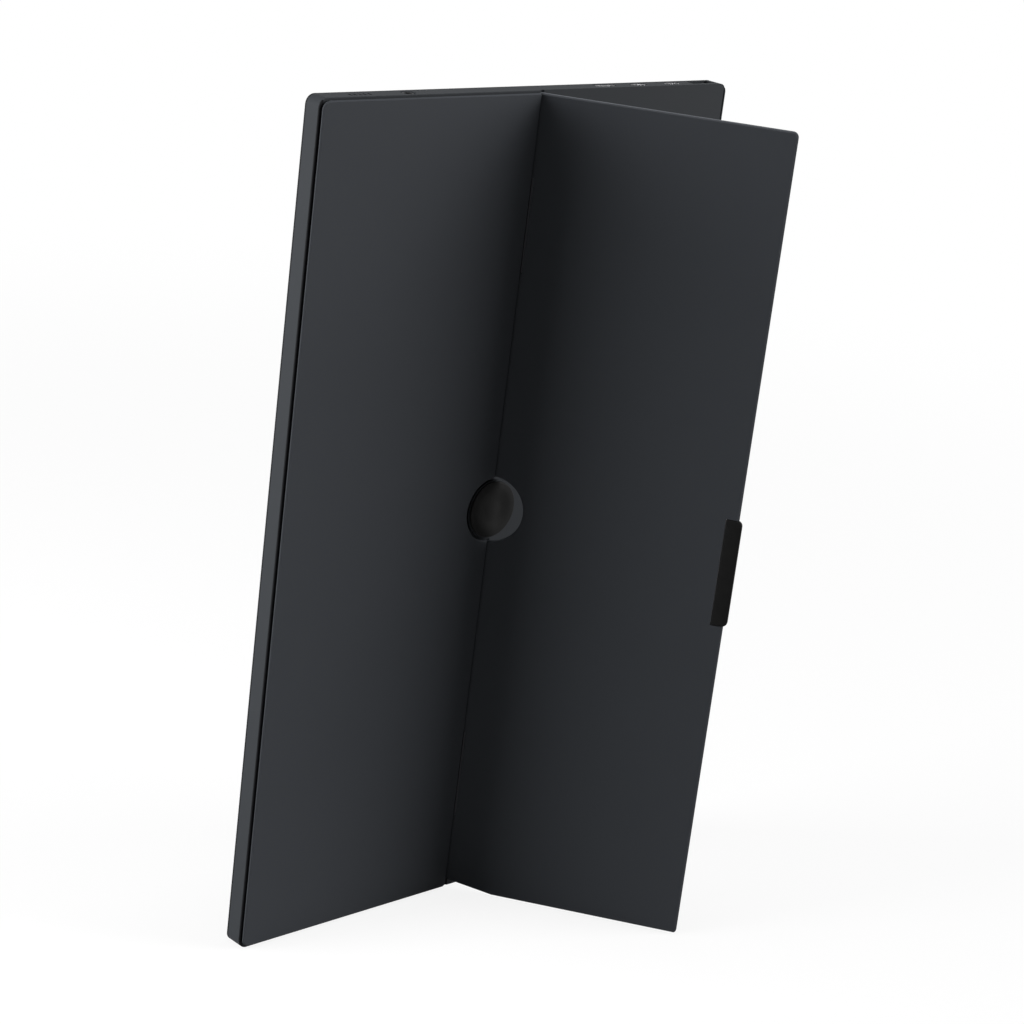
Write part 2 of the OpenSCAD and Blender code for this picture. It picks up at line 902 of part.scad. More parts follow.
module usb_c_socket_outer() {
    usb_c_socket(usb_outer_x);
}

// Metal shell with two cut corners and a tongue inside
module video_socket() {
    z0 = socket_mouth - socket_len;
    placed()
        color(steel_colour)
            translate([video_x, socket_y, z0]) {
                difference() {
                    linear_extrude(socket_len)
                        video_outline(video_w, socket_h);
                    translate([0, 0, 1.2])
                        linear_extrude(socket_len)
                            video_outline(video_w - 2 * socket_wall, socket_h - 2 * socket_wall);
                }
                translate([-4, -0.3, 1])
                    cube([8, 0.6, socket_len - 2.2]);
            }
}

// Plastic body with a round nozzle and the plug's bore
module earphone_socket() {
    body_z1 = body_h - wall_in - 0.2;
    body_len = jack_depth + 1.5 - (jack_mouth - body_z1);
    placed()
        color(inner_colour)
            difference() {
                union() {
                    block([jack_x - jack_body_w / 2, jack_y - jack_body_h / 2, body_z1 - body_len],
                        [jack_x + jack_body_w / 2, jack_y + jack_body_h / 2, body_z1]);
                    bar_z(jack_x, jack_y, body_z1 - 0.1, jack_mouth, jack_nozzle_r);
                }
                bar_z(jack_x, jack_y, jack_mouth - jack_depth, jack_mouth + cut, jack_r);
            }
}

// ---- Speakers ----

// Flat speaker box with a round membrane sunk in its face
module speaker(z0) {
    placed()
        color(inner_colour)
            difference() {
                block([speaker_x - speaker_w / 2, y_in, z0],
                    [speaker_x + speaker_w / 2, y_in + speaker_t, z0 + speaker_len]);
                bar_y(speaker_x, z0 + speaker_len / 2, y_in + speaker_t - 0.6,
                    y_in + speaker_t + cut, speaker_w / 2 - 2);
            }
}

module speaker_top() {
    speaker(body_h - wall_in - speaker_gap - speaker_len);
}

module speaker_bottom() {
    speaker(wall_in + speaker_gap);
}

// ---- Hinges ----

// Bracket screwed inside the housing, with a web and the fixed knuckle
module hinge_bracket(z) {
    placed()
        color(steel_colour)
            difference() {
                union() {
                    bar_z(axis_x, axis_y, z - fixed_len / 2, z + fixed_len / 2, knuckle_r);
                    block([axis_x - leaf_t / 2, axis_y + 0.9, z - web_len / 2],
                        [axis_x + leaf_t / 2, y_pad + leaf_t, z + web_len / 2]);
                    block([axis_x - bracket_w / 2, y_pad, z - bracket_len / 2],
                        [axis_x + bracket_w / 2, y_pad + leaf_t, z + bracket_len / 2]);
                }
                bar_z(axis_x, axis_y, z - fixed_len, z + fixed_len, pin_r + bore_gap);
                for (p = bracket_spots)
                    bar_y(p[0], p[1], y_pad - cut, y_pad + leaf_t + cut, screw_r + bore_gap);
            }
}

module hinge_bracket_top() {
    hinge_bracket(hinge_zs[1]);
}

module hinge_bracket_bottom() {
    hinge_bracket(hinge_zs[0]);
}

// Steel leaf sunk in the flap, with a knuckle at each end
module hinge_leaf(z) {
    half = zone_len / 2 - knuckle_gap;
    swung()
        color(steel_colour)
            difference() {
                union() {
                    for (side = [-1, 1])
                        bar_z(axis_x, axis_y, z + side * (half - moving_len / 2) - moving_len / 2,
                            z + side * (half - moving_len / 2) + moving_len / 2, knuckle_r);
                    block([axis_x, skin_y, z - half], [axis_x + leaf_reach, flap_t, z + half]);
                }
                block([axis_x - 2, -1, z - fixed_len / 2 - knuckle_gap],
                    [axis_x + knuckle_r + turn_gap, 4, z + fixed_len / 2 + knuckle_gap]);
                bar_z(axis_x, axis_y, z - zone_len, z + zone_len, pin_r + press_gap);
                for (p = leaf_spots)
                    cone_y(p[0], p[1], skin_y - 0.01, flap_t + 0.01,
                        screw_r + bore_gap, flush_head_r + bore_gap);
            }
}

module hinge_leaf_top() {
    hinge_leaf(hinge_zs[1]);
}

module hinge_leaf_bottom() {
    hinge_leaf(hinge_zs[0]);
}

// Pin that the moving knuckles grip and the fixed knuckle turns round
module hinge_pin(z) {
    half = zone_len / 2 - knuckle_gap;
    swung()
        color(steel_colour)
            bar_z(axis_x, axis_y, z - half, z + half, pin_r);
}

module hinge_pin_top() {
    hinge_pin(hinge_zs[1]);
}

module hinge_pin_bottom() {
    hinge_pin(hinge_zs[0]);
}

// ---- Hub ----

// Steel insert with a blind camera-screw bore and a flange inside
module tripod_insert() {
    placed()
        color(steel_colour)
            difference() {
                union() {
                    bar_y(hub_x, mid_z, y_insert, y_flange + 0.1, insert_r);
                    bar_y(hub_x, mid_z, y_flange, y_flange + flange_t, flange_r);
                }
                bar_y(hub_x, mid_z, y_insert - cut, y_insert + thread_len, thread_r);
                for (p = insert_spots)
                    bar_y(p[0], p[1], y_flange - cut, y_flange + flange_t + cut, screw_r + bore_gap);
            }
}

// Dished rubber cap with a tapered boss that drops into the collar
module hub_cap() {
    edge = 0.5;
    boss_tip = cap_boss_r - cap_boss_h;
    arc = [for (a = [90 : -15 : 0]) [cap_r - edge + edge * cos(a), cap_t - edge + edge * sin(a)]];
    placed()
        color(rubber_colour)
            upright()
                translate([hub_x, mid_z, cap_proud - cap_t])
                    rotate_extrude()
                        polygon(concat(
                            [[0, cap_t - cap_dish], [cap_r * 0.6, cap_t - cap_dish]],
                            arc,
                            [[cap_r, 0], [cap_boss_r, 0], [boss_tip, -cap_boss_h], [0, -cap_boss_h]]
                        ));
}

// ---- Control key ----

// Switch body on the main board, with a well for the plunger
module key_switch() {
    placed()
        color(inner_colour)
            difference() {
                block([key_x - switch_w / 2, y_parts, switch_top - switch_h],
                    [key_x + switch_w / 2, y_parts + socket_h - 0.1, switch_top]);
                block([key_x - plunger_w / 2 - 0.1, key_y - plunger_w / 2 - 0.1, switch_top - 2],
                    [key_x + plunger_w / 2 + 0.1, key_y + plunger_w / 2 + 0.1, switch_top + cut]);
            }
}

// Sprung plunger with a round nose that the key rocks on
module key_plunger() {
    placed()
        color(steel_colour)
            union() {
                block([key_x - plunger_w / 2, key_y - plunger_w / 2, switch_top - 1.4],
                    [key_x + plunger_w / 2, key_y + plunger_w / 2, key_pivot_z - nose_r]);
                block([key_x - 0.4, key_y - plunger_w / 2, key_pivot_z - nose_r - 0.1],
                    [key_x + 0.4, key_y + plunger_w / 2, key_pivot_z]);
                translate([key_x, key_y + plunger_w / 2, key_pivot_z])
                    rotate([90, 0, 0])
                        cylinder(r = nose_r, h = plunger_w);
            }
}

// Low rocking key that stands in the thumb notch
module control_key() {
    z_flange = key_floor - key_block - 0.5;
    placed()
        color(rubber_colour)
            difference() {
                union() {
                    block([key_x - key_w / 2, key_y - key_h / 2, z_flange - 0.1],
                        [key_x + key_w / 2, key_y + key_h / 2, key_top]);
                    block([key_x - key_w / 2 - 0.8, key_y - key_h / 2, z_flange - key_flange],
                        [key_x + key_w / 2 + 0.8, key_y + key_h / 2, z_flange]);
                    block([key_x - 1.4, key_y - key_h / 2, key_pivot_z],
                        [key_x + 1.4, key_y + key_h / 2, z_flange]);
                }
                translate([key_x, key_y + 3, key_pivot_z])
                    rotate([90, 0, 0])
                        cylinder(r = nose_r + bore_gap, h = 6);
                translate([key_x, key_y + 3, key_top + 14.6])
                    rotate([90, 0, 0])
                        cylinder(r = 15, h = 6, $fn = 96);
            }
}

// ---- Flap ----

// Outline of the closed flap from the hinge axis to the free edge
module flap_outline() {
    difference() {
        translate([axis_x, flap_z0])
            square([flap_w, flap_z1 - flap_z0]);
        for (c = [[flap_z1, -1, flap_top_r], [flap_z0, 1, flap_low_r]])
            translate([flap_x1, c[0]])
                scale([1, c[1]])
                    difference() {
                        translate([-c[2], -cut])
                            square([c[2] + cut, c[2] + cut]);
                        translate([-c[2], c[2]])
                            circle(c[2]);
                    }
    }
}

// Slanted cut at the lower hinge corner
module corner_cut() {
    slab(-2, 4)
        translate([axis_x, flap_z0])
            polygon([
                [-3, -2], [-3, cut_h + 3 * cut_h / cut_len], [cut_len, 0], [cut_len, -2]
            ]);
}

// Sunk area on the flap's inner side, for the liner and the hinge leaves
module pocket_outline(gap) {
    difference() {
        translate([axis_x + 4 + gap, flap_z0 + flap_border + gap])
            square([flap_w - flap_border - 6 - 2 * gap, flap_z1 - flap_z0 - 2 * flap_border - 2 * gap]);
        translate([hub_x, mid_z])
            circle(flap_open_r + 3 + gap);
    }
}

// Places of the hinge leaves in that area
module leaf_outline(gap) {
    for (z = hinge_zs)
        translate([axis_x, z - zone_len / 2 - gap])
            square([leaf_reach + 0.1 + gap, zone_len + 2 * gap]);
}

// Outer plate of the flap, with the round edge that turns in the channel
module stand_flap() {
    swung()
        color(shell_colour)
            difference() {
                union() {
                    slab(0, flap_t)
                        flap_outline();
                    bar_z(axis_x, axis_y, flap_z0, flap_z1, knuckle_r);
                }
                bar_y(hub_x, mid_z, -2, 6, flap_open_r);
                corner_cut();
                slab(skin_y, flap_t + cut) {
                    pocket_outline(0);
                    leaf_outline(0);
                }
                for (z = hinge_zs)
                    bar_z(axis_x, axis_y, z - zone_len / 2, z + zone_len / 2, knuckle_r + slide_gap);
                for (p = leaf_spots)
                    bar_y(p[0], p[1], skin_y - 0.6, skin_y + cut, screw_r + press_gap);
                flap_chamfers();
                slab(-1, flap_t + 1)
                    translate([flap_x1 - foot_in - 0.1, foot_z0 - 0.1])
                        square([foot_in + 2, foot_len + 0.2]);
            }
}

// Chamfers along the top, the free edge and the hub's half-round cut-out
module flap_chamfers() {
    back_rim(axis_x - 20, -20, flap_x1, flap_z1, flap_top_r, flap_chamfer, 0);
    cone_y(hub_x, mid_z, -0.1, 0.3, flap_open_r + 0.4, flap_open_r);
}

// Thin inner liner that covers the flap's sunk area
module flap_liner() {
    swung()
        color(inner_colour)
            slab(skin_y, flap_t)
                difference() {
                    pocket_outline(slide_gap);
                    leaf_outline(slide_gap);
                }
}

// Rubber foot that fills a notch in the free edge and stands out past it
module flap_foot() {
    s0 = flap_x1 - foot_in;
    s1 = flap_x1 + foot_out;
    r = foot_edge_r;
    swung()
        color(rubber_colour)
            intersection() {
                translate([0, 0, foot_z0])
                    linear_extrude(foot_len)
                        round_rect(s0, -foot_proud, s1, flap_t, r);
                slab(-2, 4)
                    round_rect(s0 - foot_r, foot_z0, s1, foot_z1, foot_r);
            }
}

// ---- Fasteners ----

// Screw along Y with a flat head, driven towards the back
module flat_screw(p, y_head, len, head_r, head_h) {
    bar_y(p[0], p[1], y_head, y_head + head_h, head_r);
    bar_y(p[0], p[1], y_head - len, y_head + 0.05, screw_r);
}

// Screw along Y whose conical head ends flush with a plate
module flush_screw(p, y_face, plate_t, len) {
    cone_y(p[0], p[1], y_face - plate_t, y_face, screw_r, flush_head_r);
    bar_y(p[0], p[1], y_face - plate_t - len, y_face - plate_t + 0.05, screw_r);
}

module frame_screws() {
    placed()
        color(steel_colour)
            for (p = post_spots)
                flush_screw(p, y_mid_front, mid_t, 2.8);
}

module board_screws() {
    placed()
        color(steel_colour)
            for (p = concat(board_spots, audio_spots))
                flat_screw(p, y_parts, board_t + standoff_h + 0.3, screw_head_r, screw_head_h);
}

module bracket_screws() {
    placed()
        color(steel_colour)
            for (p = bracket_spots)
                flat_screw(p, y_pad + leaf_t, leaf_t + y_pad - y_floor - 0.7,
                    screw_head_r, screw_head_h);
}

module insert_screws() {
    placed()
        color(steel_colour)
            for (p = insert_spots)
                flat_screw(p, y_flange + flange_t, flange_t + 2, screw_head_r - 0.1, 0.4);
}

module leaf_screws() {
    swung()
        color(steel_colour)
            for (p = leaf_spots)
                flush_screw(p, flap_t, liner_t, 0.55);
}

// ---- Parts ----

rear_housing();
back_panel();
front_bezel();
bezel_tape();
lcd_glass();
light_guide();
screen_tray();
mid_frame();
frame_screws();
main_board();
board_screws();
shield_can();
audio_board();
driver_board();
screen_cable();
usb_c_socket_inner();
usb_c_socket_outer();
video_socket();
earphone_socket();
speaker_top();
speaker_bottom();
hinge_bracket_top();
hinge_bracket_bottom();
bracket_screws();
tripod_insert();
insert_screws();
key_switch();
key_plunger();
control_key();
hub_cap();
stand_flap();
flap_liner();
hinge_leaf_top();
hinge_leaf_bottom();
hinge_pin_top();
hinge_pin_bottom();
leaf_screws();
flap_foot();
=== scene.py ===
import json
import math
import bmesh
import bpy
import numpy as np
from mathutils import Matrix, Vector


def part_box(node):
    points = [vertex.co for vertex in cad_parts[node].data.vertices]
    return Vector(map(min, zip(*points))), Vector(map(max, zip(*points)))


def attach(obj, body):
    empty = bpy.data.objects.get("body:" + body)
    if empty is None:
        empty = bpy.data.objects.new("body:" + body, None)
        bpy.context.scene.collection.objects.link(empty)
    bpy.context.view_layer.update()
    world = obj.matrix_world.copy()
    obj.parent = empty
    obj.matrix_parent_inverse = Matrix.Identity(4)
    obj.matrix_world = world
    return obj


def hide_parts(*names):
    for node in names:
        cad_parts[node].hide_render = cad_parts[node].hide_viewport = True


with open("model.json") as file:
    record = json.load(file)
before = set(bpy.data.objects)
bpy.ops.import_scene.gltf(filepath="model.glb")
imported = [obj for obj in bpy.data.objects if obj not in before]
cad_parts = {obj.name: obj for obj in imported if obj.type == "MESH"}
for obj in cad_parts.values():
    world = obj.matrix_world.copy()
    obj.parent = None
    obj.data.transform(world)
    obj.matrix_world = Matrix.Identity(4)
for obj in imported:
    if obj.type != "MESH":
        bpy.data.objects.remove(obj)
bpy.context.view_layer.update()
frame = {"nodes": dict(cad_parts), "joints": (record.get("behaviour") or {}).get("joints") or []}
mm = 0.001
waveRepeat = 0.314                              # the width of one wave at a scale of 1
print("frame loaded,", len(frame["nodes"]), "nodes")

hinge = frame["joints"][0]
axisX, axisY = hinge["pos_m"][0], hinge["pos_m"][1]
openAngle = -math.radians(hinge["range_deg"][0])
bodyLow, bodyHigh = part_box("rear_housing")
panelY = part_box("back_panel")[0].y

# the picture's own area: lowest and highest X, lowest and highest Z
borders = dict(left=6.9 * mm, right=25.5 * mm, ends=6.9 * mm)
pictureWindow = (bodyLow.x + borders["left"], bodyHigh.x - borders["right"],
                 borders["ends"], bodyHigh.z - borders["ends"])


class Reading:                                  # a number that changes over a surface
    def __init__(self, finish, socket):
        self.finish = finish
        self.socket = socket

    def maths(self, operation, *values):        # a Math node on these values
        made = self.finish.node("ShaderNodeMath", dict(operation=operation), dict(enumerate(values)))
        return Reading(self.finish, made.outputs[0])

    def __add__(self, other):
        return self.maths("ADD", self, other)

    def __sub__(self, other):
        return self.maths("SUBTRACT", self, other)

    def __rsub__(self, other):
        return self.maths("SUBTRACT", other, self)

    def __mul__(self, other):
        return self.maths("MULTIPLY", self, other)

    def __gt__(self, other):
        return self.maths("GREATER_THAN", self, other)

    def __lt__(self, other):
        return self.maths("LESS_THAN", self, other)

    def __abs__(self):
        return self.maths("ABSOLUTE", self)

    def root(self):
        return self.maths("SQRT", self)

    def sine(self):
        return self.maths("SINE", self)

    def atMostOne(self):
        return self.maths("MINIMUM", self, 1.0)

    __radd__ = __add__
    __rmul__ = __mul__


class Finish:                                   # a material or the sky, and the patterns in it
    def __init__(self, holder, **constants):
        self.material = bpy.data.materials.new(holder) if isinstance(holder, str) else holder
        self.material.use_nodes = True
        self.tree = self.material.node_tree
        self.shader = self.tree.nodes.get("Principled BSDF")
        for socket, value in constants.items():
            self.put(value, self.shader.inputs[socket.replace("_", " ")])

    def put(self, value, socket):
        if isinstance(value, Reading):
            value = value.socket
        if isinstance(value, bpy.types.NodeSocket):
            self.tree.links.new(value, socket)
        else:
            socket.default_value = value

    def node(self, kind, settings, sockets):    # settings first, then the values or links of its sockets
        made = self.tree.nodes.new(kind)
        for name, value in settings.items():
            setattr(made, name, value)
        for key, value in sockets.items():
            self.put(value, made.inputs[key])
        return made

    def place(self, stretch=(1, 1, 1)):         # the point on the piece, in metres, each axis stretched
        here = self.node("ShaderNodeTexCoord", {}, {}).outputs["Object"]
        if stretch == (1, 1, 1):
            return here
        made = self.node("ShaderNodeVectorMath", dict(operation="MULTIPLY"), {0: here, 1: stretch})
        return made.outputs[0]

    def axis(self, letter):
        parts = self.node("ShaderNodeSeparateXYZ", {}, {"Vector": self.place()})
        return Reading(self, parts.outputs[letter])

    def noise(self, size, detail, stretch=(1, 1, 1), crispness=0.55):     # size is the width of a speck
        made = self.node("ShaderNodeTexNoise", {}, {
            "Vector": self.place(stretch), "Scale": 1 / size, "Detail": detail, "Roughness": crispness})
        return Reading(self, made.outputs["Fac"])

    def cells(self, size):                      # the distance from the middle of cells this wide
        made = self.node("ShaderNodeTexVoronoi", {}, {"Vector": self.place(), "Scale": 1 / size})
        return Reading(self, made.outputs["Distance"])

    def waves(self, size, direction):           # size is the width of one wave
        made = self.node("ShaderNodeTexWave", dict(bands_direction=direction), {
            "Vector": self.place(), "Scale": waveRepeat / size, "Distortion": 0.0})
        return Reading(self, made.outputs["Fac"])

    def blend(self, share, first, second):      # two colours by the share of the second
        made = self.node("ShaderNodeMix", dict(data_type="RGBA"), {0: share, 6: first, 7: second})
        return made.outputs[2]

    def colour(self, value):
        self.put(value, self.shader.inputs["Base Color"])
        return self

    def painted(self):                          # the colour as it is so far
        return self.shader.inputs["Base Color"].links[0].from_socket

    def roughness(self, value):
        self.put(value, self.shader.inputs["Roughness"])
        return self

    def relief(self, height, depth):
        bump = self.node("ShaderNodeBump", {}, {"Height": height, "Distance": depth})
        self.put(bump.outputs["Normal"], self.shader.inputs["Normal"])
        return self


def rgb(red, green, blue):
    return (red, green, blue, 1)


def between(low, high, share):
    # low where the share is 0, high where it is 1
    return low + (high - low) * share


paintLook = dict(cloudSize=90 * mm, cloudShare=0.7, grainSize=0.35 * mm, grainShare=0.3,
                 grainDepth=0.012 * mm, smooth=0.52, rough=0.62, gloss=0.06)
panelTones = dict(dark=rgb(0.0405, 0.0440, 0.0500), light=rgb(0.0500, 0.0540, 0.0610))
housingTones = dict(dark=rgb(0.0258, 0.0280, 0.0314), light=rgb(0.0316, 0.0346, 0.0384))


def paintFinish(name, tones, smooth=paintLook["smooth"], rough=paintLook["rough"]):
    # satin paint: the tone is a sum of slow clouds and a fine grain, the relief is the grain alone
    look = paintLook
    finish = Finish(name, Specular_IOR_Level=look["gloss"])
    cloud = finish.noise(look["cloudSize"], detail=3)
    grain = finish.noise(look["grainSize"], detail=2)
    mottle = cloud * look["cloudShare"] + grain * look["grainShare"]
    finish.colour(finish.blend(mottle, tones["dark"], tones["light"]))
    finish.roughness(between(smooth, rough, cloud))
    return finish.relief(grain, look["grainDepth"])


# a painted highlight on the flap's cut ends: its paler tone and the width of the band
flapLook = dict(end=rgb(0.088, 0.094, 0.104), highlightWidth=0.15 * mm)


def flapFinish():
    # the panel's paint, with a painted highlight: a paler tone on the flap's two cut ends
    look = flapLook
    low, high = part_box("stand_flap")
    finish = paintFinish("flapPaint", panelTones)
    fromMiddle = abs(finish.axis("Z") - (low.z + high.z) / 2)
    end = fromMiddle > (high.z - low.z) / 2 - look["highlightWidth"]
    # painted highlight on the two cut ends
    finish.colour(finish.blend(end, finish.painted(), look["end"]))
    return finish


# the first tone is a painted shade, near black; the other entries place it along the groove, in the speaker
# openings and beside the hinge
housingLook = dict(paintedShade=rgb(0.0050, 0.0054, 0.0062), lipHeight=2.15 * mm, lipReach=1.6 * mm,
                   slotReach=7 * mm, slotDepth=0.1 * mm, cornerReach=4.5 * mm, cornerHeight=4 * mm)


def housingFinish():
    # the housing's paint, with painted shade: a near-black tone on the lip along the groove at the left,
    # inside the openings in front of the speakers and at the lower corner beside the hinge
    look = housingLook
    finish = paintFinish("housingPaint", housingTones)
    x, y, z = finish.axis("X"), finish.axis("Y"), finish.axis("Z")
    speakerLow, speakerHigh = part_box("speaker_top")
    fromSpeaker = abs(x - (speakerLow.x + speakerHigh.x) / 2)
    fromMiddle = abs(z - (bodyLow.z + bodyHigh.z) / 2)
    # painted shade inside the openings in front of the speakers
    slot = (fromSpeaker < look["slotReach"]) * (y > panelY + look["lipHeight"])
    slot = slot * (fromMiddle < (bodyHigh.z - bodyLow.z) / 2 - look["slotDepth"])
    # painted shade on the lip along the groove at the left, where the groove's shadow falls
    lip = (y < panelY + look["lipHeight"]) * (x < bodyLow.x + look["lipReach"])
    # painted shade at the lower corner beside the hinge, in the flap's shadow
    corner = (abs(x - axisX) < look["cornerReach"]) * (z < bodyLow.z + look["cornerHeight"])
    paintedShade = (lip + slot + corner).atMostOne()
    # the painted shade laid over the paint
    finish.colour(finish.blend(paintedShade, finish.painted(), look["paintedShade"]))
    return finish


bezelLook = dict(front=rgb(0.0090, 0.0098, 0.0112), edgeWidth=1.35 * mm, smooth=0.50, rough=0.58)


def bezelFinish():
    # the sides carry the housing's paint, the face towards the screen is darker
    look = bezelLook
    finish = paintFinish("bezelPaint", housingTones, look["smooth"], look["rough"])
    face = finish.axis("Y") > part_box("front_bezel")[1].y - look["edgeWidth"]
    finish.colour(finish.blend(face, finish.painted(), look["front"]))
    return finish


rubberLook = dict(dark=rgb(0.0068, 0.0068, 0.0070), light=rgb(0.0115, 0.0114, 0.0112), dustSize=4 * mm,
                  grainSize=0.4 * mm, grainDepth=0.02 * mm, smooth=0.46, rough=0.62, gloss=0.06)


def rubberFinish():
    # moulded silicone: matt, with a fine grain and a trace of dust
    look = rubberLook
    finish = Finish("mouldedRubber", Specular_IOR_Level=look["gloss"])
    dust = finish.noise(look["dustSize"], detail=4)
    grain = finish.noise(look["grainSize"], detail=2)
    finish.colour(finish.blend(dust, look["dark"], look["light"]))
    finish.roughness(between(look["smooth"], look["rough"], grain))
    return finish.relief(grain, look["grainDepth"])


plasticLook = dict(mottleSize=6 * mm, grainSize=0.3 * mm, grainDepth=0.01 * mm, gloss=0.35)
plastics = dict(
    blackMoulding=dict(dark=rgb(0.012, 0.012, 0.013), light=rgb(0.022, 0.022, 0.024),
                       smooth=0.45, rough=0.60),
    keyMoulding=dict(dark=rgb(0.016, 0.017, 0.019), light=rgb(0.026, 0.027, 0.030),
                     smooth=0.35, rough=0.50),
    linerMoulding=dict(dark=rgb(0.046, 0.051, 0.062), light=rgb(0.056, 0.062, 0.075),
                       smooth=0.50, rough=0.62))


def plasticFinish(name):
    # plain moulded plastic: a soft mottle and a fine grain
    look = plasticLook
    own = plastics[name]
    finish = Finish(name, Specular_IOR_Level=look["gloss"])
    mottle = finish.noise(look["mottleSize"], detail=3)
    grain = finish.noise(look["grainSize"], detail=2)
    finish.colour(finish.blend(mottle, own["dark"], own["light"]))
    finish.roughness(between(own["smooth"], own["rough"], grain))
    return finish.relief(grain, look["grainDepth"])


metalLook = dict(scratchSize=0.6 * mm, scratchShare=0.6, scratchDepth=0.006 * mm,
                 stainSize=12 * mm, stainShare=0.4)
metals = dict(
    rolledSteel=dict(dark=rgb(0.42, 0.43, 0.45), light=rgb(0.60, 0.61, 0.63),
                     smooth=0.28, rough=0.42, brush=(1, 1, 0.04)),
    pressedSteel=dict(dark=rgb(0.012, 0.012, 0.013), light=rgb(0.026, 0.027, 0.030),
                      smooth=0.42, rough=0.58, brush=(0.05, 1, 1)),
    screwSteel=dict(dark=rgb(0.34, 0.34, 0.36), light=rgb(0.52, 0.52, 0.54),
                    smooth=0.25, rough=0.38, brush=(1, 1, 1)),
    brightNickel=dict(dark=rgb(0.58, 0.58, 0.59), light=rgb(0.70, 0.70, 0.71),
                      smooth=0.22, rough=0.34, brush=(1, 1, 0.08)),
    contactGold=dict(dark=rgb(0.40, 0.31, 0.16), light=rgb(0.52, 0.42, 0.24),
                     smooth=0.25, rough=0.36, brush=(1, 1, 1)))


def metalFinish(name):
    # rolled or plated metal: scratches drawn out along one axis, with stains at a larger scale
    look = metalLook
    own = metals[name]
    finish = Finish(name, Metallic=1.0)
    scratches = finish.noise(look["scratchSize"], detail=3, stretch=own["brush"])
    stains = finish.noise(look["stainSize"], detail=4)
    mottle = scratches * look["scratchShare"] + stains * look["stainShare"]
    finish.colour(finish.blend(mottle, own["dark"], own["light"]))
    finish.roughness(between(own["smooth"], own["rough"], scratches))
    return finish.relief(scratches, look["scratchDepth"])


brassLook = dict(dark=rgb(0.42, 0.32, 0.15), light=rgb(0.60, 0.47, 0.25), ringWidth=0.3 * mm,
                 ringDepth=0.004 * mm, stainSize=4 * mm, smooth=0.26, rough=0.38)


def brassFinish():
    # brass turned on a lathe: the relief is a sine of the distance from the insert's axis, along Y
    look = brassLook
    low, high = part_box("tripod_insert")
    finish = Finish("turnedBrass", Metallic=1.0)
    across = finish.axis("X") - (low.x + high.x) / 2
    up = finish.axis("Z") - (low.z + high.z) / 2
    radius = (across * across + up * up).root()
    rings = (radius * (2 * math.pi / look["ringWidth"])).sine()
    stains = finish.noise(look["stainSize"], detail=3)
    finish.colour(finish.blend(stains, look["dark"], look["light"]))
    finish.roughness(between(look["smooth"], look["rough"], stains))
    return finish.relief(rings, look["ringDepth"])


glassLook = dict(picture=rgb(0.0040, 0.0042, 0.0050), border=rgb(0.0022, 0.0022, 0.0025), gloss=0.5,
                 smooth=0.10, pictureRough=0.12, hazeRough=0.03, hazeSize=50 * mm, hazeDepth=0.002 * mm)


def glassFinish():
    # the dark picture area, a shade greyer and rougher than the printed border round it
    look = glassLook
    finish = Finish("screenGlass", Specular_IOR_Level=look["gloss"])
    x = finish.axis("X")
    z = finish.axis("Z")
    x0, x1, z0, z1 = pictureWindow
    inside = (x > x0) * (x < x1) * (z > z0) * (z < z1)
    haze = finish.noise(look["hazeSize"], detail=4)
    finish.colour(finish.blend(inside, look["border"], look["picture"]))
    finish.roughness(look["smooth"] + look["pictureRough"] * inside + look["hazeRough"] * haze)
    return finish.relief(haze, look["hazeDepth"])


acrylicLook = dict(clear=rgb(0.62, 0.66, 0.68), dot=rgb(0.90, 0.91, 0.92), dotPitch=0.8 * mm,
                   dotSize=0.28, dotDepth=0.01 * mm, rough=0.12, bending=1.49)


def acrylicFinish():
    # acrylic with a field of small white dots, one in the middle of each cell
    look = acrylicLook
    finish = Finish("clearAcrylic", Roughness=look["rough"], IOR=look["bending"])
    dots = finish.cells(look["dotPitch"]) < look["dotSize"]
    finish.colour(finish.blend(dots, look["clear"], look["dot"]))
    return finish.relief(dots, look["dotDepth"])


boardLook = dict(mask=rgb(0.012, 0.062, 0.034), track=rgb(0.020, 0.105, 0.055), pad=rgb(0.62, 0.50, 0.26),
                 trackPitch=1.2 * mm, trackGap=0.72, breakSize=6 * mm, breakGap=0.5, padPitch=3.2 * mm,
                 padSize=0.16, mottleSize=2 * mm, smooth=0.36, rough=0.46, depth=0.03 * mm, gloss=0.5)


def boardFinish():
    # green solder mask over copper tracks: bands cut off by blots of noise, and bare specks
    look = boardLook
    finish = Finish("solderMask", Specular_IOR_Level=look["gloss"])
    bands = finish.waves(look["trackPitch"], "X") > look["trackGap"]
    tracks = bands * (finish.noise(look["breakSize"], detail=2) > look["breakGap"])
    pads = finish.cells(look["padPitch"]) < look["padSize"]
    mask = finish.blend(tracks, look["mask"], look["track"])
    finish.colour(finish.blend(pads, mask, look["pad"]))
    finish.roughness(between(look["smooth"], look["rough"], finish.noise(look["mottleSize"], detail=2)))
    return finish.relief(tracks + pads, look["depth"])


cableLook = dict(film=rgb(0.28, 0.12, 0.02), line=rgb(0.52, 0.30, 0.08), linePitch=0.8 * mm,
                 lineDepth=0.02 * mm, smooth=0.30, rough=0.40, gloss=0.5)


def cableFinish():
    # amber film over parallel copper lines
    look = cableLook
    finish = Finish("amberFilm", Specular_IOR_Level=look["gloss"])
    lines = finish.waves(look["linePitch"], "X")
    finish.colour(finish.blend(lines, look["film"], look["line"]))
    finish.roughness(between(look["smooth"], look["rough"], lines))
    return finish.relief(lines, look["lineDepth"])


foamLook = dict(dark=rgb(0.008, 0.008, 0.008), light=rgb(0.030, 0.030, 0.030), poreSize=0.5 * mm,
                poreDepth=0.06 * mm, smooth=0.85, rough=0.95, gloss=0.2)


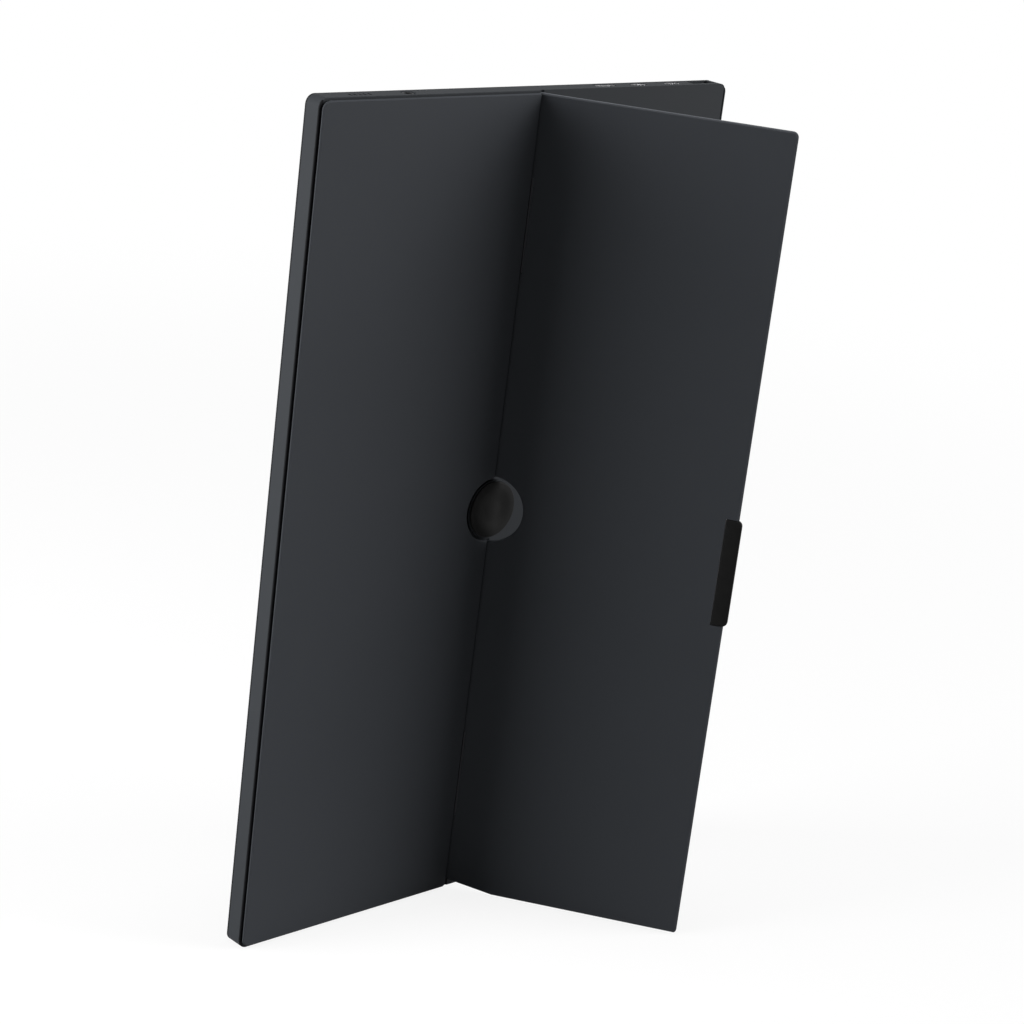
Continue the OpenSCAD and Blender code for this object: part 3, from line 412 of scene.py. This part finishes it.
def foamFinish():
    # closed-cell foam: small round pores
    look = foamLook
    finish = Finish("blackFoam", Specular_IOR_Level=look["gloss"])
    pores = finish.cells(look["poreSize"])
    finish.colour(finish.blend(pores, look["dark"], look["light"]))
    finish.roughness(between(look["smooth"], look["rough"], pores))
    return finish.relief(pores, look["poreDepth"])


gauzeLook = dict(dark=rgb(0.004, 0.004, 0.004), light=rgb(0.030, 0.030, 0.032), threadPitch=0.25 * mm,
                 threadDepth=0.03 * mm, hollowRough=0.8, threadRough=0.7, gloss=0.3)


def gauzeFinish():
    # black woven gauze, finer than the threads of its own mesh: bands along X times bands along Y
    look = gauzeLook
    finish = Finish("speakerGauze", Specular_IOR_Level=look["gloss"])
    threads = finish.waves(look["threadPitch"], "X") * finish.waves(look["threadPitch"], "Y")
    finish.colour(finish.blend(threads, look["dark"], look["light"]))
    finish.roughness(between(look["hollowRough"], look["threadRough"], threads))
    return finish.relief(threads, look["threadDepth"])


def gridFaces(rows, columns, loopRows, loopColumns):
    # quads between neighbouring points of a grid, with each index worked out as row * columns + column
    r = np.arange(rows if loopRows else rows - 1)
    c = np.arange(columns if loopColumns else columns - 1)
    r, c = np.meshgrid(r, c, indexing="ij")
    r2 = (r + 1) % rows
    c2 = (c + 1) % columns
    corners = [r * columns + c, r * columns + c2, r2 * columns + c2, r2 * columns + c]
    return np.stack(corners, axis=-1).reshape(-1, 4)


def addPiece(name, sheets, finish, body, replaces=(), sharpAngle=40):
    # sheets: (points with shape rows x columns x 3 in metres, loopRows, loopColumns)
    corners = []
    faces = []
    start = 0
    for points, loopRows, loopColumns in sheets:
        rows, columns = points.shape[:2]
        corners.append(points.reshape(-1, 3))
        faces.append(gridFaces(rows, columns, loopRows, loopColumns) + start)
        start += rows * columns
    mesh = bpy.data.meshes.new(name)
    mesh.from_pydata(np.concatenate(corners), [], np.concatenate(faces))
    skin = bmesh.new()
    skin.from_mesh(mesh)
    bmesh.ops.remove_doubles(skin, verts=skin.verts, dist=0.001 * mm)
    bmesh.ops.recalc_face_normals(skin, faces=skin.faces)
    skin.to_mesh(mesh)
    skin.free()
    piece = bpy.data.objects.new(name, mesh)
    bpy.context.scene.collection.objects.link(piece)
    mesh.shade_smooth()
    mesh.set_sharp_from_angle(angle=math.radians(sharpAngle))
    mesh.materials.append(finish.material)
    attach(piece, body)
    if replaces:
        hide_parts(*replaces)
    print("made", name, len(mesh.polygons), "faces")
    return piece


def fullTurn(count):
    # angles of evenly spaced points round a circle
    return np.linspace(0, 2 * np.pi, count, endpoint=False)


def quarter(centreA, centreB, radius, fromAngle, toAngle, steps=8):
    # an arc of steps + 1 points round (centreA, centreB), angles in degrees
    turn = np.radians(np.linspace(fromAngle, toAngle, steps + 1))
    return np.stack([centreA + radius * np.cos(turn), centreB + radius * np.sin(turn)], axis=1)


def revolve(profile, centre, count=96):
    # (radius, height) pairs turned round an axis along -Y through the centre
    turn = fullTurn(count)
    radius = profile[:, 0][:, None]
    height = profile[:, 1][:, None]
    x = centre[0] + radius * np.cos(turn)
    y = centre[1] - height + 0 * turn
    z = centre[2] + radius * np.sin(turn)
    return np.stack([x, y, z], axis=-1)


def roundOutline(a0, b0, a1, b1, right, left, steps=10):
    # closed rectangle with an arc at each corner, counter-clockwise from the lower right one
    parts = [
        quarter(a1 - right, b0 + right, right, -90, 0, steps),
        quarter(a1 - right, b1 - right, right, 0, 90, steps),
        quarter(a0 + left, b1 - left, left, 90, 180, steps),
        quarter(a0 + left, b0 + left, left, 180, 270, steps)]
    return np.concatenate(parts)


def swing(reach, height, depth):
    # from the closed flap's own sizes (reach from the hinge, height, depth inwards from the axis)
    # to its place when open: turned about the hinge by the opening angle
    c, s = math.cos(openAngle), math.sin(openAngle)
    x = axisX + reach * c + depth * s
    y = axisY - reach * s + depth * c
    return np.stack(np.broadcast_arrays(x, y, height), axis=-1)


capShape = dict(play=0.6 * mm, edge=0.55 * mm, dishRadius=7.2 * mm, dishSoft=3.4 * mm, dishDepth=0.62 * mm,
                crown=0.16 * mm, crownFrom=0.7, thickness=1.2 * mm, bossRadius=4.6 * mm, bossTip=3.6 * mm,
                bossDrop=1.0 * mm, faceSteps=40)


def makeHubCap(finish):
    # revolved profile: a soft dish in the middle, a flat ring, a round edge, a straight side and a
    # tapered boss underneath; the dish follows a smooth step of the radius
    shape = capShape
    low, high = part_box("hub_cap")
    radius = (high.x - low.x) / 2 - shape["play"]
    centre = ((high.x + low.x) / 2, panelY, (high.z + low.z) / 2)
    proud = panelY - low.y
    under = proud - shape["thickness"]
    r = np.linspace(0, radius - shape["edge"], shape["faceSteps"])
    step = np.clip((r - shape["dishRadius"] + shape["dishSoft"]) / (2 * shape["dishSoft"]), 0, 1)
    step = step * step * (3 - 2 * step)
    crownFrom = shape["crownFrom"]
    crown = shape["crown"] * np.clip((r / radius - crownFrom) / (1 - crownFrom), 0, 1) ** 2
    top = np.stack([r, proud - shape["dishDepth"] * (1 - step) - crown], axis=1)
    edgeTop = top[-1, 1]
    edge = quarter(radius - shape["edge"], edgeTop - shape["edge"], shape["edge"], 90, 0)[1:]
    boss = np.array([
        [radius, under], [shape["bossRadius"], under],
        [shape["bossTip"], under - shape["bossDrop"]], [0, under - shape["bossDrop"]]])
    profile = np.concatenate([top, edge, boss])
    addPiece("hubCap", [(revolve(profile, centre), False, True)], finish, "cap", ["hub_cap"])


footShape = dict(inward=99.2 * mm, outward=106.2 * mm, outer=-1.5 * mm, inner=0.6 * mm, corner=2.4 * mm,
                 hingeCorner=0.5 * mm, edge=0.7 * mm, innerEdge=0.5 * mm, crown=0.14 * mm,
                 outerSteps=10, innerSteps=5)


def makeFoot(finish):
    # rings of one round-cornered outline: each ring is drawn in by its own inset and lies at its
    # own depth, round the outer edge, over a shallow crown and round the inner edge
    shape = footShape
    low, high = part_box("flap_foot")
    edge, innerEdge = shape["edge"], shape["innerEdge"]
    half = (shape["outward"] - shape["inward"]) / 2
    rimDepth = shape["outer"] + shape["crown"]
    crownIn = np.linspace(half, edge, shape["outerSteps"])
    lift = shape["crown"] * (1 - ((half - crownIn) / (half - edge)) ** 2)
    outerFace = np.stack([crownIn, rimDepth - lift], axis=1)
    outerRim = quarter(edge, rimDepth + edge, edge, -90, -180)[1:]
    innerRim = quarter(innerEdge, shape["inner"] - innerEdge, innerEdge, 180, 90, 6)
    innerIn = np.linspace(innerEdge, half, shape["innerSteps"])[1:]
    innerFace = np.stack([innerIn, np.full(len(innerIn), shape["inner"])], axis=1)
    rings = []
    for inset, depth in np.concatenate([outerFace, outerRim, innerRim, innerFace]):
        line = roundOutline(shape["inward"] + inset, low.z + inset,
                            shape["outward"] - inset, high.z - inset,
                            max(shape["corner"] - inset, 0), max(shape["hingeCorner"] - inset, 0))
        rings.append(swing(line[:, 0], line[:, 1], depth))
    addPiece("edgeFoot", [(np.stack(rings), False, True)], finish, "flap", ["flap_foot"])


filmShape = dict(margin=0.5 * mm, thickness=0.12 * mm, radius=0.6 * mm, edge=0.04 * mm)


def makeScreenFilm(finish):
    # flat film with a bevelled edge in front of the glass: rings of one outline, as for the foot
    shape = filmShape
    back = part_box("lcd_glass")[1].y
    front = back + shape["thickness"]
    edge = shape["edge"]
    x0, x1, z0, z1 = pictureWindow
    a0, a1 = x0 - shape["margin"], x1 + shape["margin"]
    b0, b1 = z0 - shape["margin"], z1 + shape["margin"]
    half = (a1 - a0) / 2
    rings = []
    for inset, y in ((half, back), (0, back), (0, front - edge), (edge, front), (half, front)):
        radius = max(shape["radius"] - inset, 0)
        line = roundOutline(a0 + inset, b0 + inset, a1 - inset, b1 - inset, radius, radius)
        rings.append(np.stack([line[:, 0], np.full(len(line), y), line[:, 1]], axis=1))
    addPiece("screenFilm", [(np.stack(rings), False, True)], finish, "screen")


contactShape = dict(width=0.26 * mm, length=2.6 * mm, proud=0.05 * mm, sink=2.1 * mm, fullness=8,
                    sides=8, steps=8)
contactRows = {                                 # count, pitch, and a row's distance from the middle
    "usb_c_socket_inner": (12, 0.5 * mm, 0.35 * mm),
    "usb_c_socket_outer": (12, 0.5 * mm, 0.35 * mm),
    "video_socket": (10, 0.6 * mm, 0.3 * mm)}


def contactSheet(x, y, z, side):
    # strip along Z: its section is an ellipse that narrows to a line at both ends, as the root
    # of 1 - (distance from the middle) ^ fullness
    shape = contactShape
    turn = fullTurn(shape["sides"])[None, :]
    along = np.linspace(0, 1, shape["steps"])[:, None]
    rise = np.sqrt(1 - np.abs(2 * along - 1) ** shape["fullness"])
    xs = x + shape["width"] / 2 * np.cos(turn) + 0 * along
    ys = y + side * shape["proud"] * np.sin(turn) * rise
    zs = z + shape["length"] * along + 0 * turn
    return (np.stack([xs, ys, zs], axis=-1), False, True)


def makeContacts(finish):
    # two rows of strips in each socket, evenly spaced about its middle and sunk below its mouth
    shape = contactShape
    sheets = []
    for node, (count, pitch, half) in contactRows.items():
        low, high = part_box(node)
        x = (low.x + high.x) / 2
        y = (low.y + high.y) / 2
        z = high.z - shape["sink"] - shape["length"]
        for i in range(count):
            for side in (-1, 1):
                sheets.append(contactSheet(x + (i - (count - 1) / 2) * pitch, y + side * half, z, side))
    addPiece("socketContacts", sheets, finish, "screen")


gauzeShape = dict(width=12.4 * mm, height=3.2 * mm, thread=0.5 * mm, lift=0.09 * mm, inward=1.5 * mm,
                  thickness=0.06 * mm, steps=4)


def makeGauze(finish):
    # woven sheet: its height is the product of two sines, one thread up where the next one is down
    shape = gauzeShape
    low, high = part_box("speaker_top")
    x = (low.x + high.x) / 2
    y = (low.y + high.y) / 2
    thread = shape["thread"]
    u = np.linspace(-0.5, 0.5, int(shape["width"] / thread) * shape["steps"] + 1)
    v = np.linspace(-0.5, 0.5, int(shape["height"] / thread) * shape["steps"] + 1)
    u, v = np.meshgrid(u * shape["width"], v * shape["height"], indexing="ij")
    wave = np.sin(2 * np.pi * u / thread) * np.sin(2 * np.pi * v / thread)
    sheets = []
    for wall, inwards in ((bodyHigh.z, -1), (bodyLow.z, 1)):
        z = wall + inwards * shape["inward"] + shape["lift"] * wave
        sheets.append((np.stack([x + u, y + v, z], axis=-1), False, False))
    piece = addPiece("slotGauze", sheets, finish, "screen")
    piece.modifiers.new("Thickness", "SOLIDIFY").thickness = shape["thickness"]


screwShape = dict(head=1.8 * mm, rim=0.08 * mm, core=0.8 * mm, sink=0.8 * mm, length=0.55 * mm,
                  slot=0.26 * mm, slotReach=1.05 * mm, slotDepth=0.42 * mm, slotWall=0.09 * mm,
                  slotEnd=0.3 * mm, fine=1.2 * mm, fineRings=26, rimRings=5, sides=96,
                  face=0.6 * mm, reach=17 * mm, step=14 * mm)


def makeLeafScrews(finish):
    # flat countersunk heads with a crossed recess: the recess is a clipped slope of the distance
    # from the nearer of two crossed bars, fading out at the bars' ends
    shape = screwShape
    turn = fullTurn(shape["sides"])
    fineRings = np.linspace(0, shape["fine"], shape["fineRings"])
    rimRings = np.linspace(shape["fine"], shape["head"] - shape["rim"], shape["rimRings"])[1:]
    radius = np.concatenate([fineRings, rimRings])[:, None]
    across = radius * np.cos(turn)
    up = radius * np.sin(turn)
    bar = np.minimum(np.abs(across), np.abs(up))
    wall = np.clip((shape["slot"] - bar) / shape["slotWall"], 0, 1)
    end = np.clip((shape["slotReach"] - radius) / shape["slotEnd"], 0, 1)
    recess = -shape["slotDepth"] * wall * end
    tip = -shape["sink"] - shape["length"]
    below = np.array([[shape["head"], -shape["rim"]], [shape["core"], -shape["sink"]],
                      [shape["core"], tip], [0, tip]])
    across = np.concatenate([across, below[:, 0][:, None] * np.cos(turn)])
    up = np.concatenate([up, below[:, 0][:, None] * np.sin(turn)])
    depth = np.concatenate([recess, below[:, 1][:, None] + 0 * turn])
    sheets = []
    for leaf in ("hinge_leaf_bottom", "hinge_leaf_top"):
        low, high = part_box(leaf)
        for side in (-1, 1):
            height = (low.z + high.z) / 2 + side * shape["step"]
            sheets.append((swing(shape["reach"] + across, height + up, shape["face"] + depth), False, True))
    addPiece("leafScrews", sheets, finish, "flap", ["leaf_screws"], 30)


panelPaint = paintFinish("panelPaint", panelTones)
housingPaint = housingFinish()
rubber = rubberFinish()
steel = metalFinish("rolledSteel")
darkSteel = metalFinish("pressedSteel")
screwSteel = metalFinish("screwSteel")
nickel = metalFinish("brightNickel")
gold = metalFinish("contactGold")
brass = brassFinish()
black = plasticFinish("blackMoulding")
keyPlastic = plasticFinish("keyMoulding")
liner = plasticFinish("linerMoulding")
glass = glassFinish()
board = boardFinish()
print("finishes made")

nodeFinishes = {
    "rear_housing": housingPaint, "back_panel": panelPaint, "stand_flap": flapFinish(),
    "front_bezel": bezelFinish(), "flap_liner": liner, "bezel_tape": foamFinish(),
    "lcd_glass": glass, "light_guide": acrylicFinish(), "screen_tray": steel, "mid_frame": steel,
    "shield_can": steel, "frame_screws": screwSteel, "board_screws": screwSteel,
    "bracket_screws": screwSteel, "insert_screws": screwSteel, "leaf_screws": screwSteel,
    "key_plunger": screwSteel, "main_board": board, "audio_board": board, "driver_board": board,
    "screen_cable": cableFinish(), "usb_c_socket_inner": nickel, "usb_c_socket_outer": nickel,
    "video_socket": nickel, "earphone_socket": black, "speaker_top": black, "speaker_bottom": black,
    "key_switch": black, "hinge_bracket_top": darkSteel, "hinge_bracket_bottom": darkSteel,
    "hinge_leaf_top": darkSteel, "hinge_leaf_bottom": darkSteel, "hinge_pin_top": darkSteel,
    "hinge_pin_bottom": darkSteel, "tripod_insert": brass, "control_key": keyPlastic,
    "hub_cap": rubber, "flap_foot": rubber}
for name, node in frame["nodes"].items():
    for surface in node.material_slots:
        surface.link = "OBJECT"
        surface.material = nodeFinishes[name].material
print("nodes finished")

makeHubCap(rubber)
makeFoot(rubber)
makeScreenFilm(glass)
makeContacts(gold)
makeGauze(gauzeFinish())
makeLeafScrews(screwSteel)


studio = dict(floorSize=7.0, floorRings=24, floorSides=96, floorGrowth=1.5, floorPale=0.86, floorDim=0.22,
              floorRough=0.9, floorGloss=0.1, mottleSize=0.4, mottle=0.01, whiteNear=0.86, whiteFar=1.0,
              whiteFrom=0.35, whiteTo=1.3, ambient=0.032, glossShare=0.6)


def backgroundShare(finish):
    # 1 for what the camera sees straight, in gloss or through glass, and 0 for what lights the object
    path = finish.node("ShaderNodeLightPath", {}, {})
    seen = Reading(finish, path.outputs["Is Camera Ray"])
    seen = seen + Reading(finish, path.outputs["Is Glossy Ray"]) * studio["glossShare"]
    return (seen + Reading(finish, path.outputs["Is Transmission Ray"])).atMostOne()


def floorFinish():
    # pale to the camera and dim to the object's underside, glowing whiter by a smooth step of the
    # distance from the middle
    finish = Finish("paleFloor", Roughness=studio["floorRough"], Specular_IOR_Level=studio["floorGloss"])
    share = backgroundShare(finish)
    mottle = finish.noise(studio["mottleSize"], detail=2) * studio["mottle"]
    tone = between(studio["floorDim"], studio["floorPale"], share) + mottle
    finish.colour(finish.blend(tone, rgb(0, 0, 0), rgb(1, 1, 1)))
    x = finish.axis("X")
    y = finish.axis("Y")
    rise = finish.node("ShaderNodeMapRange", dict(interpolation_type="SMOOTHSTEP"), {
        "Value": (x * x + y * y).root(), "From Min": studio["whiteFrom"], "From Max": studio["whiteTo"]})
    white = between(studio["whiteNear"], studio["whiteFar"], Reading(finish, rise.outputs[0]))
    glow = finish.node("ShaderNodeEmission", {}, {"Color": rgb(1, 1, 1), "Strength": 1.0})
    mixed = finish.node("ShaderNodeMixShader", {}, {
        0: share * white, 1: finish.shader.outputs[0], 2: glow.outputs[0]})
    finish.put(mixed.outputs[0], finish.tree.nodes["Material Output"].inputs["Surface"])
    return finish


def makeFloor():
    # wide disc: rings of points whose radii grow as a power of their number
    rings, sides = studio["floorRings"], studio["floorSides"]
    radius = np.linspace(0, 1, rings)[:, None] ** studio["floorGrowth"] * studio["floorSize"]
    x = radius * np.cos(fullTurn(sides))
    y = radius * np.sin(fullTurn(sides))
    points = np.stack([x, y, 0 * x], axis=-1).reshape(-1, 3)
    mesh = bpy.data.meshes.new("studioFloor")
    mesh.from_pydata(points, [], gridFaces(rings, sides, False, True)[:, ::-1])
    floor = bpy.data.objects.new("studioFloor", mesh)
    bpy.context.scene.collection.objects.link(floor)
    mesh.materials.append(floorFinish().material)


def makeSky():
    # full strength for the background and a faint even light on the object
    world = bpy.data.worlds.new("studioSky")
    bpy.context.scene.world = world
    finish = Finish(world)
    back = finish.tree.nodes["Background"]
    back.inputs["Color"].default_value = rgb(1, 1, 1)
    finish.put(between(studio["ambient"], 1, backgroundShare(finish)), back.inputs["Strength"])


lamps = dict(
    left=dict(place=(-0.94, 0.40, 0.36), aim=(0, 0.03, 0.20), size=(0.60, 0.9), power=20),
    right=dict(place=(2.05, -1.62, 1.10), aim=(-0.03, 0.03, 0.22), size=(1.25, 1.8), power=92),
    top=dict(place=(-0.02, 0.02, 1.40), aim=(-0.02, 0.025, 0.35), size=(0.34, 0.26), power=7.0))


def aimed(thing, place, aim):
    # turned so that its own -Z points from its place to what it is aimed at
    back = np.array(place, float) - np.array(aim, float)
    back /= np.linalg.norm(back)
    thing.location = place
    thing.rotation_euler = (math.acos(back[2]), 0, math.atan2(back[1], back[0]) + math.pi / 2)


def makeLamps():
    # soft rectangular lamps that the camera doesn't see
    for name, look in lamps.items():
        data = bpy.data.lights.new(name + "Lamp", "AREA")
        data.shape = "RECTANGLE"
        data.size, data.size_y = look["size"]
        data.energy = look["power"]
        lamp = bpy.data.objects.new(name + "Lamp", data)
        bpy.context.scene.collection.objects.link(lamp)
        aimed(lamp, look["place"], look["aim"])
        lamp.visible_camera = False


cameraView = dict(place=(-0.73915, -0.71318, 0.52919), turn=(71.5, -6.794, -42.792), lens=92.08,
                  sensor=36, farthest=50)


def makeCamera():
    # the photograph's own view, turned by three angles in degrees
    look = cameraView
    data = bpy.data.cameras.new("photoCamera")
    data.sensor_width = look["sensor"]
    data.lens = look["lens"]
    data.clip_end = look["farthest"]
    camera = bpy.data.objects.new("photoCamera", data)
    camera.location = look["place"]
    camera.rotation_euler = [math.radians(a) for a in look["turn"]]
    bpy.context.scene.collection.objects.link(camera)
    bpy.context.scene.camera = camera


makeFloor()
makeSky()
makeLamps()
makeCamera()
bpy.context.scene.view_settings.view_transform = "Standard"
print("studio set")
